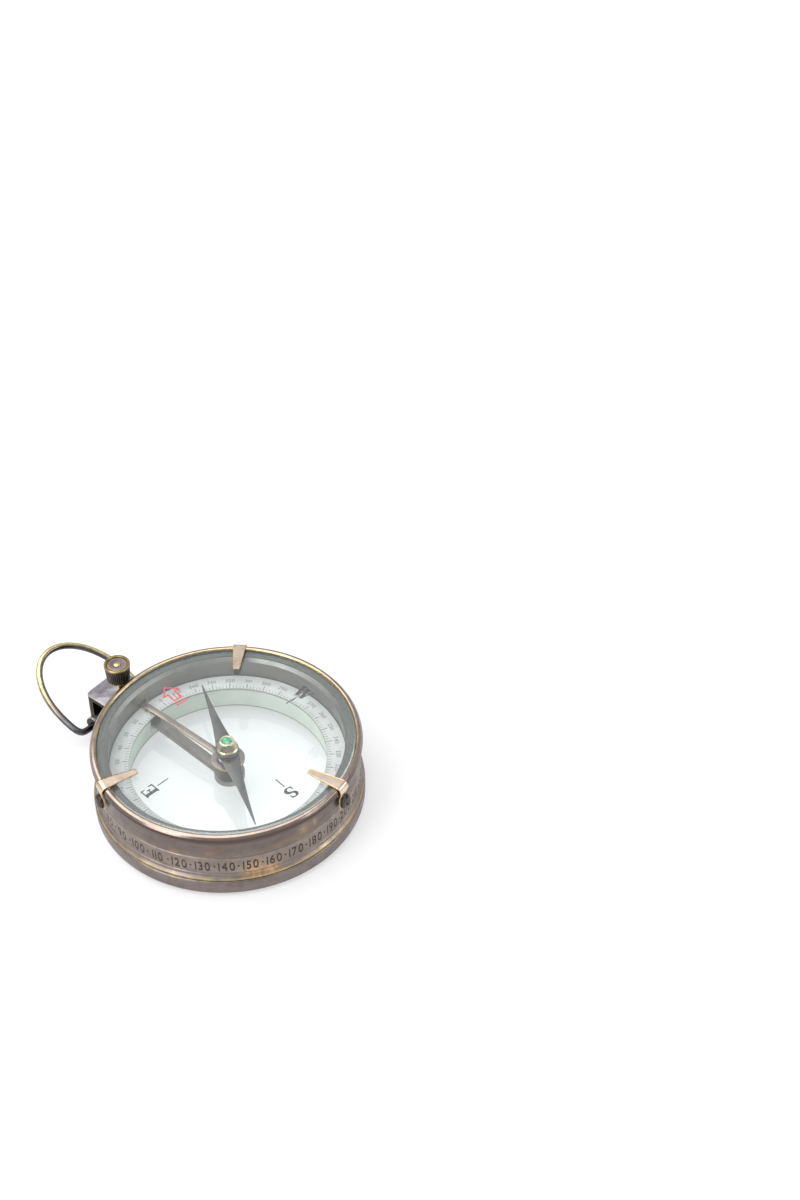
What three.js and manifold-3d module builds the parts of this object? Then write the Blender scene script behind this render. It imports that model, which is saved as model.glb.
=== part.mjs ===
// A hand compass in aged brass, glazed on both sides: a drum case on a screwed base ring,
// a lance needle on a cantilever bridge, a needle clamp with its knob, and a hanger with a bail.
// Millimetres, +Z up. The compass is built round its own axis with the hanger towards +Y, and
// the finished group is moved so that the origin is the middle of its footprint.

import * as THREE from 'three';
import { mergeVertices } from 'three/addons/utils/BufferGeometryUtils.js';
import Module from 'manifold-3d';

const wasm = await Module();
wasm.setup();

// General
const deg = Math.PI / 180;
const roundSides = 60;
const smallSides = 20;
const seatGap = 0.1;
const sideGap = 0.2;
const workGap = 0.3;

// Base ring
const baseStandout = 0.4;
const baseHeight = 5.6;
const baseEdgeRound = 1.5;
const baseFootWidth = 3.3;
const baseWall = 1.3;
const shelfHeight = 3.2;
const shelfThickness = 0.9;
const shelfReach = 1.5;
const spigotHeight = 1.8;

// Case
const rimRadius = 37.5;
const rimTop = 22.35;
const beadHeight = 2.7;
const beadStandout = 0.7;
const rimLip = 1.9;
const flangeStandout = 0.85;
const flangeHeight = 0.6;
const flangeFlare = 1.2;
const rimToBore = 5.0;
const grooveWidth = 0.4;
const grooveDepth = 0.25;
const letterBandHeight = 5.6;
const bandHollow = 0.15;
const seatReach = 2.1;
const seatChamfer = 0.9;

// Glasses and gaskets
const topGlassThickness = 1.6;
const topGlassBevel = 0.8;
const topGlassStandout = -0.05;
const bottomGlassThickness = 1.4;
const gasketThickness = 0.3;

// Dial
const dialWidth = 5.3;
const dialThickness = 0.55;
const dialTop = 13.4;
const spacerSetback = 0.4;

// Prongs that hold the top glass down
const prongAngles = [36, 158, 278];
const prongThickness = 0.4;
const prongReach = 10.6;
const prongTipWidth = 2.1;
const prongRootWidth = 3.8;
const prongLegLength = 4.4;
const prongScrewRadius = 0.8;
const prongHeadRadius = 2.1;
const prongHeadThickness = 1.2;
const prongScrewDepth = 2.2;

// Bridge and pivot
const bridgeWidth = 3.5;
const bridgeThickness = 0.6;
const bridgeHubRadius = 4.2;
const bridgeHubThickness = 1.6;
const bridgeTabDrop = 2.5;
const bridgeTabLength = 4.3;
const bridgeScrewRadius = 0.5;
const bridgeScrewSpacing = 1.9;
const bridgeScrewLength = 2.6;
const pivotRadius = 1.0;
const pivotTipRadius = 0.12;
const pivotTaperLength = 5.2;
const nutRadius = 2.6;
const nutThickness = 0.85;

// Needle
const needleHeading = 57.2;
const needleOverlap = 0.7;
const needleWidth = 7.0;
const needleThickness = 0.35;
const needleTipWidth = 0.35;
const needleOverDial = 2.05;
const hubRadius = 3.2;
const hubHeight = 1.2;
const hubBore = 1.4;
const capBaseRadius = 3.0;
const capTopRadius = 1.95;
const capHeight = 2.9;
const capFlange = 0.4;
const jewelRadius = 1.4;
const jewelDome = 0.35;
const jewelSeat = 0.5;

// Needle lift lever
const leverWidth = 1.8;
const leverThickness = 0.6;
const leverOverDial = 0.7;
const leverRingOuter = 4.6;
const leverRingInner = 2.6;
const leverHubDrop = 1.2;
const leverTailDrop = 2.9;
const leverTailEnd = 2.1;
const leverEyeRadius = 1.4;
const fulcrumPinRadius = 0.5;
const fulcrumPinLength = 7.2;
const fulcrumInWall = 2.0;

// Hanger bracket
const bracketHalfWidth = 6.9;
const bracketReach = 11.4;
const bracketTop = 14.6;
const plateThickness = 1.2;
const bracketWall = 1.3;
const bracketPost = 2.6;
const bracketFloorTop = 7.4;
const bracketCornerRound = 2.0;
const knuckleRadius = 2.6;
const knuckleHeight = 4.0;
const knuckleHalfWidth = 7.7;
const knuckleInset = 2.4;
const bracketScrewRadius = 0.6;
const bracketHeadRadius = 1.2;
const bracketHeadThickness = 0.8;
const bracketScrewOffset = 4.4;

// Clamp screw
const knobRadius = 3.75;
const knobFootRadius = 3.3;
const knobHeight = 5.9;
const knobFaceDepth = 0.45;
const knobRimWidth = 0.8;
const knobOverPlate = 5.4;
const stemRadius = 1.0;
const stemFromCase = 4.0;
const padRadius = 1.6;
const padThickness = 0.7;

// Return spring
const springRadius = 1.7;
const springWire = 0.25;
const springTurns = 2.75;
const springSteps = 8;
const springSides = 5;

// Bail
const bailWire = 1.0;
const bailHalfWidth = 12.8;
const bailShoulder = 7.0;
const bailCrown = 19.4;
const bailCorner = 2.6;
const bailRestTilt = 22;
const bailCrownPoints = 7;
const bailPinDepth = 1.7;
const bailSides = 12;
const bailSteps = 76;

// Heights and radii that follow from the sizes above
const baseRadius = rimRadius + baseStandout;
const baseFootInner = baseRadius - baseFootWidth;
const caseBore = rimRadius - rimToBore;
const shelfTop = shelfHeight + shelfThickness;
const bottomGlassUnder = shelfTop + gasketThickness + 2 * seatGap;
const bottomGlassTop = bottomGlassUnder + bottomGlassThickness;
const baseSpigotOuter = baseFootInner + shelfThickness;
const baseSpigotInner = baseSpigotOuter - baseWall;
const shelfInner = baseSpigotInner - shelfReach;
const bottomGlassRadius = baseSpigotInner - sideGap;
const caseFoot = baseHeight + workGap;
const bandRadius = rimRadius - beadStandout;
const flangeRadius = bandRadius + flangeStandout;
const spigotTop = baseHeight + spigotHeight;
const caseLedge = spigotTop + workGap;
const skirtFoot = bottomGlassTop + workGap;
const letterBandFoot = caseFoot + flangeHeight + flangeFlare + grooveWidth;
const letterBandTop = letterBandFoot + letterBandHeight;
const beadFoot = rimTop - beadHeight;
const rimInner = rimRadius - rimLip;
const topGlassTop = rimTop + topGlassStandout;
const topGlassUnder = topGlassTop - topGlassThickness;
const topGlassRadius = rimInner - sideGap;
const glassSeat = topGlassUnder - gasketThickness - 2 * seatGap;
const gasketInner = rimInner - seatReach;
const dialOuter = caseBore - sideGap;
const dialInner = dialOuter - dialWidth;
const dialUnder = dialTop - dialThickness;
const spacerFoot = bottomGlassTop + seatGap;
const spacerTop = dialUnder - seatGap;
const spacerInner = dialInner + spacerSetback;

const nutFoot = bottomGlassTop + seatGap;
const bridgeHubUnder = nutFoot + nutThickness + seatGap;
const bridgeHubMid = bridgeHubUnder + bridgeThickness / 2;
const bridgeTabMid = spacerTop - bridgeTabDrop;

const leverUnder = dialTop + leverOverDial;
const leverMid = leverUnder + leverThickness / 2;
const leverHubMid = leverMid - leverHubDrop;
const leverTailMid = leverMid - leverTailDrop;
const fulcrumY = caseBore + fulcrumInWall;
const fulcrumZ = (leverMid + leverTailMid) / 2;

const needleHalfLength = dialInner + needleOverlap;
const needleUnder = dialTop + needleOverDial;
const needleTop = needleUnder + needleThickness;
const hubFoot = needleTop + seatGap;
const hubTop = hubFoot + hubHeight;
const capFoot = hubTop + seatGap;
const capTop = capFoot + capHeight;
const capCavityTop = capFoot + capHeight * 0.5;
const pivotTip = capCavityTop - workGap;

const stemY = rimRadius + stemFromCase;
const plateUnder = bracketTop - plateThickness;
const bracketOuter = rimRadius + bracketReach;
const knuckleY = bracketOuter - knuckleInset;
const leverTailTop = leverTailMid + leverThickness / 2;
const padFoot = leverTailTop + workGap;
const stemFoot = padFoot + padThickness + workGap;
const knobFoot = bracketTop + knobOverPlate;
const springFoot = bracketFloorTop + seatGap;
const springTop = leverTailMid - leverThickness / 2 - seatGap;
const prongScrewZ = letterBandTop + 3.2;

// Materials
function metal(color, roughness, metalness = 0.9) {
  return new THREE.MeshStandardMaterial({ color, roughness, metalness });
}
const agedBrass = metal(0x8b7a78, 0.42);
const innerBrass = metal(0x83847b, 0.5);
const copperBrass = metal(0xb59286, 0.38);
const brightBrass = metal(0xcbb083, 0.3);
const darkBronze = metal(0x4a413d, 0.45);
const blackSteel = metal(0x33302f, 0.5);
const blueSteel = metal(0x7d7c7d, 0.35);
const clearGlass = new THREE.MeshStandardMaterial({
  color: 0xdfeeea, roughness: 0.05, metalness: 0, transparent: true, opacity: 0.3,
});
const greenGlass = new THREE.MeshStandardMaterial({ color: 0x59cf9b, roughness: 0.1, metalness: 0 });
const dialSilver = metal(0xcdd2d2, 0.5, 0.2);
const spacerGreen = metal(0xdbe6dc, 0.5, 0.1);
const gasketGrey = metal(0x8f9d93, 0.7, 0);

// Solids: a closed geometry becomes a manifold solid, and a manifold solid a geometry
function solid(geometry) {
  const bare = geometry.clone();
  bare.deleteAttribute('normal');
  bare.deleteAttribute('uv');
  const merged = mergeVertices(bare, 1e-4);
  const points = merged.attributes.position.array;
  const index = merged.index.array;
  const triangles = [];
  let volume = 0;
  const a = new THREE.Vector3();
  const b = new THREE.Vector3();
  const c = new THREE.Vector3();
  for (let i = 0; i < index.length; i += 3) {
    const [p, q, r] = [index[i], index[i + 1], index[i + 2]];
    if (p === q || q === r || r === p) continue;
    triangles.push([p, q, r]);
    a.fromArray(points, 3 * p);
    b.fromArray(points, 3 * q);
    c.fromArray(points, 3 * r);
    volume += a.dot(b.cross(c));
  }
  const order = volume < 0 ? triangles.map(([p, q, r]) => [p, r, q]) : triangles;
  const mesh = new wasm.Mesh({
    numProp: 3,
    vertProperties: new Float32Array(points),
    triVerts: new Uint32Array(order.flat()),
  });
  return new wasm.Manifold(mesh);
}

function geometryOf(body) {
  const mesh = body.getMesh();
  const geometry = new THREE.BufferGeometry();
  geometry.setAttribute('position', new THREE.Float32BufferAttribute(mesh.vertProperties, 3));
  geometry.setIndex(new THREE.Uint32BufferAttribute(mesh.triVerts, 1));
  geometry.computeVertexNormals();
  return geometry;
}

// A profile of [radius, height] pairs turned round the Z axis; a closed one never meets the axis
function turned(profile, sides = roundSides) {
  const points = profile.map(([radius, height]) => new THREE.Vector2(radius, height));
  const onAxis = profile[0][0] === 0 && profile[profile.length - 1][0] === 0;
  if (!onAxis) points.push(points[0].clone());
  return solid(new THREE.LatheGeometry(points, sides).rotateX(Math.PI / 2));
}

function ring(inner, outer, foot, top, sides = roundSides) {
  return turned([[inner, foot], [outer, foot], [outer, top], [inner, top]], sides);
}

// A rod along Z from foot to top
function rod(radius, foot, top, sides = smallSides) {
  return turned([[0, foot], [radius, foot], [radius, top], [0, top]], sides);
}

// A rod along Y or X, with its middle line at the given place
function rodAlongY(radius, from, to, x, z, sides = smallSides) {
  const geometry = new THREE.CylinderGeometry(radius, radius, to - from, sides);
  return solid(geometry.translate(x, (from + to) / 2, z));
}

function rodAlongX(radius, from, to, y, z, sides = smallSides) {
  const geometry = new THREE.CylinderGeometry(radius, radius, to - from, sides).rotateZ(Math.PI / 2);
  return solid(geometry.translate((from + to) / 2, y, z));
}

function block(low, high) {
  const size = high.map((value, i) => value - low[i]);
  const middle = high.map((value, i) => (value + low[i]) / 2);
  return solid(new THREE.BoxGeometry(...size).translate(...middle));
}

// A flat outline of [y, z] pairs, given a width along X
function plateAcross(outline, halfWidth) {
  const shape = new THREE.Shape(outline.map(([y, z]) => new THREE.Vector2(y, z)));
  const geometry = new THREE.ExtrudeGeometry(shape, { depth: 2 * halfWidth, bevelEnabled: false });
  geometry.translate(0, 0, -halfWidth);
  geometry.rotateY(Math.PI / 2);
  geometry.rotateX(Math.PI / 2);
  return solid(geometry);
}

// A bent strip: [y, z, width] stations along its middle, with a thickness square to its run
function strip(stations, thickness) {
  const positions = [];
  const index = [];
  stations.forEach(([y, z, width], i) => {
    const before = stations[Math.max(i - 1, 0)];
    const after = stations[Math.min(i + 1, stations.length - 1)];
    const into = new THREE.Vector2(y - before[0], z - before[1]).normalize();
    const out = new THREE.Vector2(after[0] - y, after[1] - z).normalize();
    const run = into.clone().add(out).normalize();
    const reference = i === 0 ? out : into;
    const half = thickness / 2 / Math.max(run.dot(reference), 0.5);
    for (const [side, face] of [[-1, -1], [1, -1], [1, 1], [-1, 1]]) {
      positions.push(side * width / 2, y - face * half * run.y, z + face * half * run.x);
    }
  });
  for (let i = 0; i + 1 < stations.length; i += 1) {
    for (let k = 0; k < 4; k += 1) {
      const p = 4 * i + k;
      const q = 4 * i + (k + 1) % 4;
      index.push(p, q, q + 4, p, q + 4, p + 4);
    }
  }
  const last = 4 * (stations.length - 1);
  index.push(0, 3, 2, 0, 2, 1);
  index.push(last, last + 1, last + 2, last, last + 2, last + 3);
  const geometry = new THREE.BufferGeometry();
  geometry.setAttribute('position', new THREE.Float32BufferAttribute(positions, 3));
  geometry.setIndex(index);
  return solid(geometry);
}

function node(name, body, material, parent) {
  const mesh = new THREE.Mesh(geometryOf(body), material);
  mesh.name = name;
  parent.add(mesh);
  return mesh;
}

const compass = new THREE.Group();

// Base ring: foot, shelf for the bottom glass, and a spigot that screws into the case
const baseProfile = [
  [baseFootInner, 0],
  [baseRadius - baseEdgeRound, 0],
  [baseRadius - baseEdgeRound * 0.38, baseEdgeRound * 0.3],
  [baseRadius, baseEdgeRound],
  [baseRadius, baseHeight - 0.4],
  [baseRadius - 0.3, baseHeight],
  [baseSpigotOuter, baseHeight],
  [baseSpigotOuter, spigotTop],
  [baseSpigotInner, spigotTop],
  [baseSpigotInner, shelfTop],
  [shelfInner, shelfTop],
  [shelfInner, shelfHeight],
  [baseFootInner, shelfHeight],
];
node('base_ring', turned(baseProfile), agedBrass, compass);
node('bottom_gasket', ring(shelfInner, bottomGlassRadius, shelfTop + seatGap,
  shelfTop + seatGap + gasketThickness), gasketGrey, compass);
node('bottom_glass', rod(bottomGlassRadius, bottomGlassUnder, bottomGlassTop, roundSides),
  clearGlass, compass);

// Case: flange, lettering band between two engraved lines, hollowed band, rolled bead, glass seat
const neck = grooveWidth / 2;
const caseProfile = [
  [baseSpigotOuter + sideGap, caseFoot],
  [flangeRadius, caseFoot],
  [flangeRadius, caseFoot + flangeHeight],
  [bandRadius + flangeStandout * 0.3, caseFoot + flangeHeight + flangeFlare * 0.5],
  [bandRadius, letterBandFoot - grooveWidth],
  [bandRadius - grooveDepth, letterBandFoot - grooveWidth / 2],
  [bandRadius, letterBandFoot],
  [bandRadius, letterBandTop],
  [bandRadius - grooveDepth, letterBandTop + grooveWidth / 2],
  [bandRadius, letterBandTop + grooveWidth],
  [bandRadius - bandHollow, (letterBandTop + beadFoot) / 2],
  [bandRadius, beadFoot - neck],
  [bandRadius - neck, beadFoot],
  [rimRadius - beadStandout * 0.4, beadFoot + beadHeight * 0.12],
  [rimRadius, beadFoot + beadHeight * 0.42],
  [rimRadius - beadStandout * 0.25, beadFoot + beadHeight * 0.75],
  [rimRadius - rimLip * 0.42, rimTop - beadHeight * 0.04],
  [rimRadius - rimLip * 0.75, rimTop],
  [rimInner, rimTop - beadHeight * 0.09],
  [rimInner, glassSeat],
  [gasketInner, glassSeat],
  [caseBore, glassSeat - seatChamfer],
  [caseBore, skirtFoot],
  [baseSpigotInner - sideGap, skirtFoot],
  [baseSpigotInner - sideGap, caseLedge],
  [baseSpigotOuter + sideGap, caseLedge],
];
const slotHalfWidth = leverWidth / 2 + sideGap + 0.3;
const leverSlot = block(
  [-slotHalfWidth, caseBore - 1, leverTailMid - leverThickness - workGap],
  [slotHalfWidth, rimRadius, leverMid + leverThickness / 2 + workGap],
);
const fulcrumHole = rodAlongX(fulcrumPinRadius + sideGap, -fulcrumPinLength / 2 - workGap,
  fulcrumPinLength / 2 + workGap, fulcrumY, fulcrumZ);
let caseBody = turned(caseProfile).subtract(leverSlot).subtract(fulcrumHole);
for (const side of [-1, 1]) {
  const hole = rodAlongY(bracketScrewRadius + sideGap, caseBore + 1, rimRadius + 1,
    side * bracketScrewOffset, leverTailMid);
  caseBody = caseBody.subtract(hole);
}
for (const angle of prongAngles) {
  const hole = rodAlongY(prongScrewRadius + sideGap, bandRadius - prongScrewDepth - workGap,
    rimRadius + 1, 0, prongScrewZ);
  caseBody = caseBody.subtract(hole.rotate([0, 0, angle - 90]));
}
node('case_body', caseBody, agedBrass, compass);

// Top glass on its gasket
const gasketFoot = glassSeat + seatGap;
node('glass_gasket', ring(gasketInner, topGlassRadius, gasketFoot, gasketFoot + gasketThickness),
  gasketGrey, compass);
const topGlassProfile = [
  [0, topGlassUnder],
  [topGlassRadius, topGlassUnder],
  [topGlassRadius, topGlassTop - topGlassBevel * 0.8],
  [topGlassRadius - topGlassBevel, topGlassTop],
  [0, topGlassTop],
];
node('top_glass', turned(topGlassProfile), clearGlass, compass);

// Dial ring on its spacer, which is notched for the bridge's tab
const notchHalfWidth = bridgeWidth / 2 + workGap;
const tabNotch = block(
  [-notchHalfWidth, 0, bridgeTabMid - bridgeThickness / 2 - seatGap],
  [notchHalfWidth, dialOuter + 1, spacerTop + 1],
);
const tabScrewY = spacerInner + bridgeTabLength * 0.55;
const bridgeScrewPlaces = [-1, 1].map((side) => side * bridgeScrewSpacing / 2);
const bridgeScrewTop = bridgeTabMid + bridgeThickness / 2;
let spacer = ring(spacerInner, dialOuter, spacerFoot, spacerTop).subtract(tabNotch);
for (const x of bridgeScrewPlaces) {
  const hole = rod(bridgeScrewRadius + 0.1, bridgeScrewTop - bridgeScrewLength - workGap, spacerTop, 12);
  spacer = spacer.subtract(hole.translate([x, tabScrewY, 0]));
}
node('dial_spacer', spacer, spacerGreen, compass);
node('dial_ring', ring(dialInner, dialOuter, dialUnder, dialTop), dialSilver, compass);

// Bridge: a cantilever bar that drops from its tab under the dial to the disc below the pivot
const bridgeBar = strip([
  [bridgeHubRadius * 0.7, bridgeHubMid, bridgeWidth],
  [bridgeHubRadius + 0.6, bridgeHubMid, bridgeWidth],
  [dialInner - 0.8, bridgeTabMid, bridgeWidth],
  [spacerInner + bridgeTabLength, bridgeTabMid, bridgeWidth],
], bridgeThickness);
const bridgeHubTop = bridgeHubUnder + bridgeHubThickness;
const bridgeDisc = rod(bridgeHubRadius, bridgeHubUnder, bridgeHubTop, 32);
let bridge = bridgeBar.add(bridgeDisc);
bridge = bridge.subtract(rod(pivotRadius + 0.1, bridgeHubUnder - 1, bridgeHubTop + 1));
bridgeScrewPlaces.forEach((x, i) => {
  bridge = bridge.subtract(rod(bridgeScrewRadius + 0.1, bridgeTabMid - 1, bridgeTabMid + 1, 12)
    .translate([x, tabScrewY, 0]));
  const screw = rod(bridgeScrewRadius, bridgeScrewTop - bridgeScrewLength, bridgeScrewTop, 12);
  node(`bridge_screw_${i + 1}`, screw.translate([x, tabScrewY, 0]), brightBrass, compass);
});
node('pivot_bridge', bridge, darkBronze, compass);

// Pivot: a pointed pin held in the bridge's disc by a round nut
const pivotProfile = [
  [0, nutFoot],
  [pivotRadius, nutFoot],
  [pivotRadius, bridgeHubTop + workGap],
  [pivotRadius * 0.75, bridgeHubTop + workGap],
  [pivotRadius * 0.75, pivotTip - pivotTaperLength],
  [pivotTipRadius, pivotTip - pivotTipRadius],
  [0, pivotTip],
];
node('pivot_pin', turned(pivotProfile, 16), blueSteel, compass);
node('pivot_nut', ring(pivotRadius + 0.1, nutRadius, nutFoot, nutFoot + nutThickness, 24),
  blackSteel, compass);

// Lift lever: a ring round the pivot, a bar over the dial, a crank in the wall and a tail outside
const leverRingWidth = leverRingOuter - leverRingInner;
const leverBar = strip([
  [leverRingInner + leverRingWidth * 0.4, leverHubMid, leverWidth],
  [leverRingOuter + 0.6, leverHubMid, leverWidth],
  [dialInner - 1.2, leverMid, leverWidth],
  [fulcrumY - leverThickness * 1.4, leverMid, leverWidth],
  [fulcrumY, fulcrumZ, leverWidth],
  [fulcrumY + leverThickness * 1.8, leverTailMid, leverWidth],
  [stemY + leverTailEnd, leverTailMid, leverWidth],
], leverThickness);
const leverRing = ring(leverRingInner, leverRingOuter, leverHubMid - leverThickness / 2,
  leverHubMid + leverThickness / 2, 32);
const leverEye = rodAlongX(leverEyeRadius, -leverWidth / 2, leverWidth / 2, fulcrumY, fulcrumZ);
const leverBore = rodAlongX(fulcrumPinRadius + workGap, -leverWidth, leverWidth, fulcrumY, fulcrumZ);
const lever = leverBar.add(leverRing).add(leverEye).subtract(leverBore);
node('lift_lever', lever, copperBrass, compass);
node('fulcrum_pin', rodAlongX(fulcrumPinRadius, -fulcrumPinLength / 2, fulcrumPinLength / 2,
  fulcrumY, fulcrumZ, 12), innerBrass, compass);

// Prongs: three tapered strips bent down over the bead, each held by one screw
const prongInnerFace = bandRadius + workGap;
const prongLegMid = prongInnerFace + prongThickness / 2;
const prongTopMid = rimTop + prongThickness / 2 + seatGap;
const prongStations = [
  [rimRadius - prongReach, prongTopMid, prongTipWidth],
  [rimRadius - rimLip * 0.75, prongTopMid, prongRootWidth * 0.95],
  [rimRadius - rimLip * 0.2, prongTopMid - 0.2, prongRootWidth],
  [rimRadius + 0.2, prongTopMid - 0.95, prongRootWidth],
  [rimRadius + 0.4, prongTopMid - 1.9, prongRootWidth],
  [prongLegMid + 0.15, beadFoot - 0.3, prongRootWidth],
  [prongLegMid, beadFoot - 1.2, prongRootWidth],
  [prongLegMid, beadFoot - prongLegLength, prongRootWidth * 0.9],
];
const prongHole = rodAlongY(prongScrewRadius + sideGap, bandRadius, rimRadius + 2, 0, prongScrewZ);
const prongBody = strip(prongStations, prongThickness).subtract(prongHole);
const screwHeadFoot = prongInnerFace + prongThickness + seatGap;
const slotDepth = prongHeadThickness * 0.45;
const screwSlot = block(
  [-prongHeadRadius, screwHeadFoot + prongHeadThickness - slotDepth, prongScrewZ - 0.25],
  [prongHeadRadius, screwHeadFoot + prongHeadThickness + 1, prongScrewZ + 0.25],
);
const prongScrew = rodAlongY(prongScrewRadius, bandRadius - prongScrewDepth, screwHeadFoot + 0.2,
  0, prongScrewZ)
  .add(rodAlongY(prongHeadRadius, screwHeadFoot, screwHeadFoot + prongHeadThickness, 0, prongScrewZ, 24))
  .subtract(screwSlot);
prongAngles.forEach((angle, i) => {
  const prong = node(`prong_${i + 1}`, prongBody, copperBrass, compass);
  prong.rotation.z = (angle - 90) * deg;
  const screw = node(`prong_screw_${i + 1}`, prongScrew, blackSteel, compass);
  screw.rotation.z = (angle - 90) * deg;
});

// Needle group, turned to its heading
const needle = new THREE.Group();
needle.rotation.z = (needleHeading - 90) * deg;
compass.add(needle);
const half = needleWidth / 2;
const tip = needleTipWidth / 2;
const bladeShape = new THREE.Shape();
bladeShape.moveTo(tip, needleHalfLength);
bladeShape.quadraticCurveTo(half * 0.42, needleHalfLength * 0.36, half, 0);
bladeShape.quadraticCurveTo(half * 0.42, -needleHalfLength * 0.36, tip, -needleHalfLength);
bladeShape.lineTo(-tip, -needleHalfLength);
bladeShape.quadraticCurveTo(-half * 0.42, -needleHalfLength * 0.36, -half, 0);
bladeShape.quadraticCurveTo(-half * 0.42, needleHalfLength * 0.36, -tip, needleHalfLength);
const bladeGeometry = new THREE.ExtrudeGeometry(bladeShape, {
  depth: needleThickness, bevelEnabled: false, curveSegments: 8,
});
const blade = solid(bladeGeometry.translate(0, 0, needleUnder))
  .subtract(rod(hubBore, needleUnder - 1, needleTop + 1));
node('needle_blade', blade, blueSteel, needle);
const hubProfile = [
  [hubBore, hubFoot],
  [hubRadius, hubFoot],
  [hubRadius, hubTop - 0.3],
  [hubRadius - 0.2, hubTop],
  [hubBore, hubTop],
];
node('needle_hub', turned(hubProfile, 32), blueSteel, needle);
const capOutside = turned([
  [0, capFoot],
  [capBaseRadius, capFoot],
  [capBaseRadius, capFoot + capFlange],
  [capTopRadius, capTop - 0.2],
  [capTopRadius - 0.2, capTop],
  [jewelRadius + seatGap, capTop],
  [jewelRadius + seatGap, capTop - jewelSeat],
  [0, capTop - jewelSeat],
], 32);
const capCavity = turned([
  [0, capFoot - 1],
  [hubBore, capFoot - 1],
  [hubBore, capFoot + capHeight * 0.2],
  [hubBore * 0.4, capCavityTop],
  [0, capCavityTop],
], 16);
node('needle_cap', capOutside.subtract(capCavity), brightBrass, needle);
const jewelFoot = capTop - jewelSeat + seatGap;
const jewelProfile = [
  [0, jewelFoot],
  [jewelRadius, jewelFoot],
  [jewelRadius, capTop],
  [jewelRadius * 0.72, capTop + jewelDome * 0.7],
  [0, capTop + jewelDome],
];
node('cap_jewel', turned(jewelProfile, 24), greenGlass, needle);

// Hanger bracket: a channel screwed to the case, with a knuckle for the bail along its foot
const bracketBackCut = rod(bandRadius + sideGap, 0, bracketTop + 1, roundSides);
const bracketOutline = [
  [bandRadius - 1, caseFoot + flangeHeight + flangeFlare + seatGap],
  [flangeRadius + 1, caseFoot + flangeHeight + flangeFlare + seatGap],
  [flangeRadius + 1, bracketFloorTop - plateThickness],
  [knuckleY - knuckleRadius * 0.6, bracketFloorTop - plateThickness],
  [knuckleY - knuckleRadius * 0.6, knuckleHeight],
  [bracketOuter, knuckleHeight],
  [bracketOuter, bracketTop],
  [bandRadius - 1, bracketTop],
];
const cavityOutline = [
  [bandRadius + bracketWall + sideGap, bracketFloorTop],
  [bracketOuter - bracketPost, bracketFloorTop],
  [bracketOuter - bracketPost, plateUnder],
  [bandRadius + bracketWall + sideGap, plateUnder],
];
const planShape = new THREE.Shape();
planShape.moveTo(-bracketHalfWidth, 0);
planShape.lineTo(bracketHalfWidth, 0);
planShape.lineTo(bracketHalfWidth, knuckleY + knuckleRadius + 1);
planShape.lineTo(-bracketHalfWidth + bracketCornerRound, knuckleY + knuckleRadius + 1);
planShape.lineTo(-bracketHalfWidth + bracketCornerRound, bracketOuter);
planShape.quadraticCurveTo(-bracketHalfWidth, bracketOuter,
  -bracketHalfWidth, bracketOuter - bracketCornerRound);
const planLimit = solid(new THREE.ExtrudeGeometry(planShape, {
  depth: bracketTop, bevelEnabled: false, curveSegments: 6,
}));
const knuckle = rodAlongX(knuckleRadius, -knuckleHalfWidth, knuckleHalfWidth, knuckleY, knuckleHeight, 24);
let bracket = plateAcross(bracketOutline, bracketHalfWidth)
  .subtract(plateAcross(cavityOutline, bracketHalfWidth + 1))
  .intersect(planLimit)
  .add(knuckle)
  .subtract(bracketBackCut)
  .subtract(rod(stemRadius + sideGap, plateUnder - 1, bracketTop + 1).translate([0, stemY, 0]));
const tailWindow = block(
  [-leverWidth / 2 - 0.5, bandRadius - 2, leverTailMid - leverThickness - workGap],
  [leverWidth / 2 + 0.5, bandRadius + bracketWall + 1, plateUnder],
);
bracket = bracket.subtract(tailWindow);
const pinBoreDepth = bailPinDepth + workGap;
const bracketHeadFoot = bandRadius + bracketWall + sideGap + seatGap;
[-1, 1].forEach((side, i) => {
  const boreEnds = [side * (knuckleHalfWidth - pinBoreDepth), side * (knuckleHalfWidth + 1)];
  bracket = bracket.subtract(rodAlongX(bailWire + workGap, Math.min(...boreEnds), Math.max(...boreEnds),
    knuckleY, knuckleHeight, bailSides));
  bracket = bracket.subtract(rodAlongY(bracketScrewRadius + sideGap, bandRadius - 2,
    bandRadius + bracketWall + 0.5, side * bracketScrewOffset, leverTailMid, 12));
  const screw = rodAlongY(bracketScrewRadius, caseBore + 1.3, bracketHeadFoot + 0.2,
    side * bracketScrewOffset, leverTailMid, 12)
    .add(rodAlongY(bracketHeadRadius, bracketHeadFoot, bracketHeadFoot + bracketHeadThickness,
      side * bracketScrewOffset, leverTailMid, 16));
  node(`bracket_screw_${i + 1}`, screw, brightBrass, compass);
});
node('hanger_bracket', bracket, darkBronze, compass);

// Clamp screw group on its own axis: knob, stem and the pad that bears on the lever's tail
const clamp = new THREE.Group();
clamp.position.set(0, stemY, 0);
compass.add(clamp);
const knobTop = knobFoot + knobHeight;
const knobFace = knobTop - knobFaceDepth;
const knobProfile = [
  [stemRadius + 0.1, knobFoot],
  [knobFootRadius - 0.2, knobFoot],
  [knobFootRadius, knobFoot + 0.2],
  [knobRadius - 0.15, knobTop - knobRimWidth],
  [knobRadius, knobTop - knobRimWidth + 0.15],
  [knobRadius, knobTop - 0.25],
  [knobRadius - 0.25, knobTop],
  [knobRadius - knobRimWidth, knobTop],
  [knobRadius - knobRimWidth - 0.15, knobFace],
  [stemRadius + 0.1, knobFace],
];
node('clamp_knob', turned(knobProfile, 36), darkBronze, clamp);
const stemProfile = [
  [0, stemFoot],
  [stemRadius, stemFoot],
  [stemRadius, knobFace + knobFaceDepth * 0.5],
  [stemRadius * 0.55, knobFace + knobFaceDepth * 0.9],
  [0, knobFace + knobFaceDepth],
];
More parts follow.
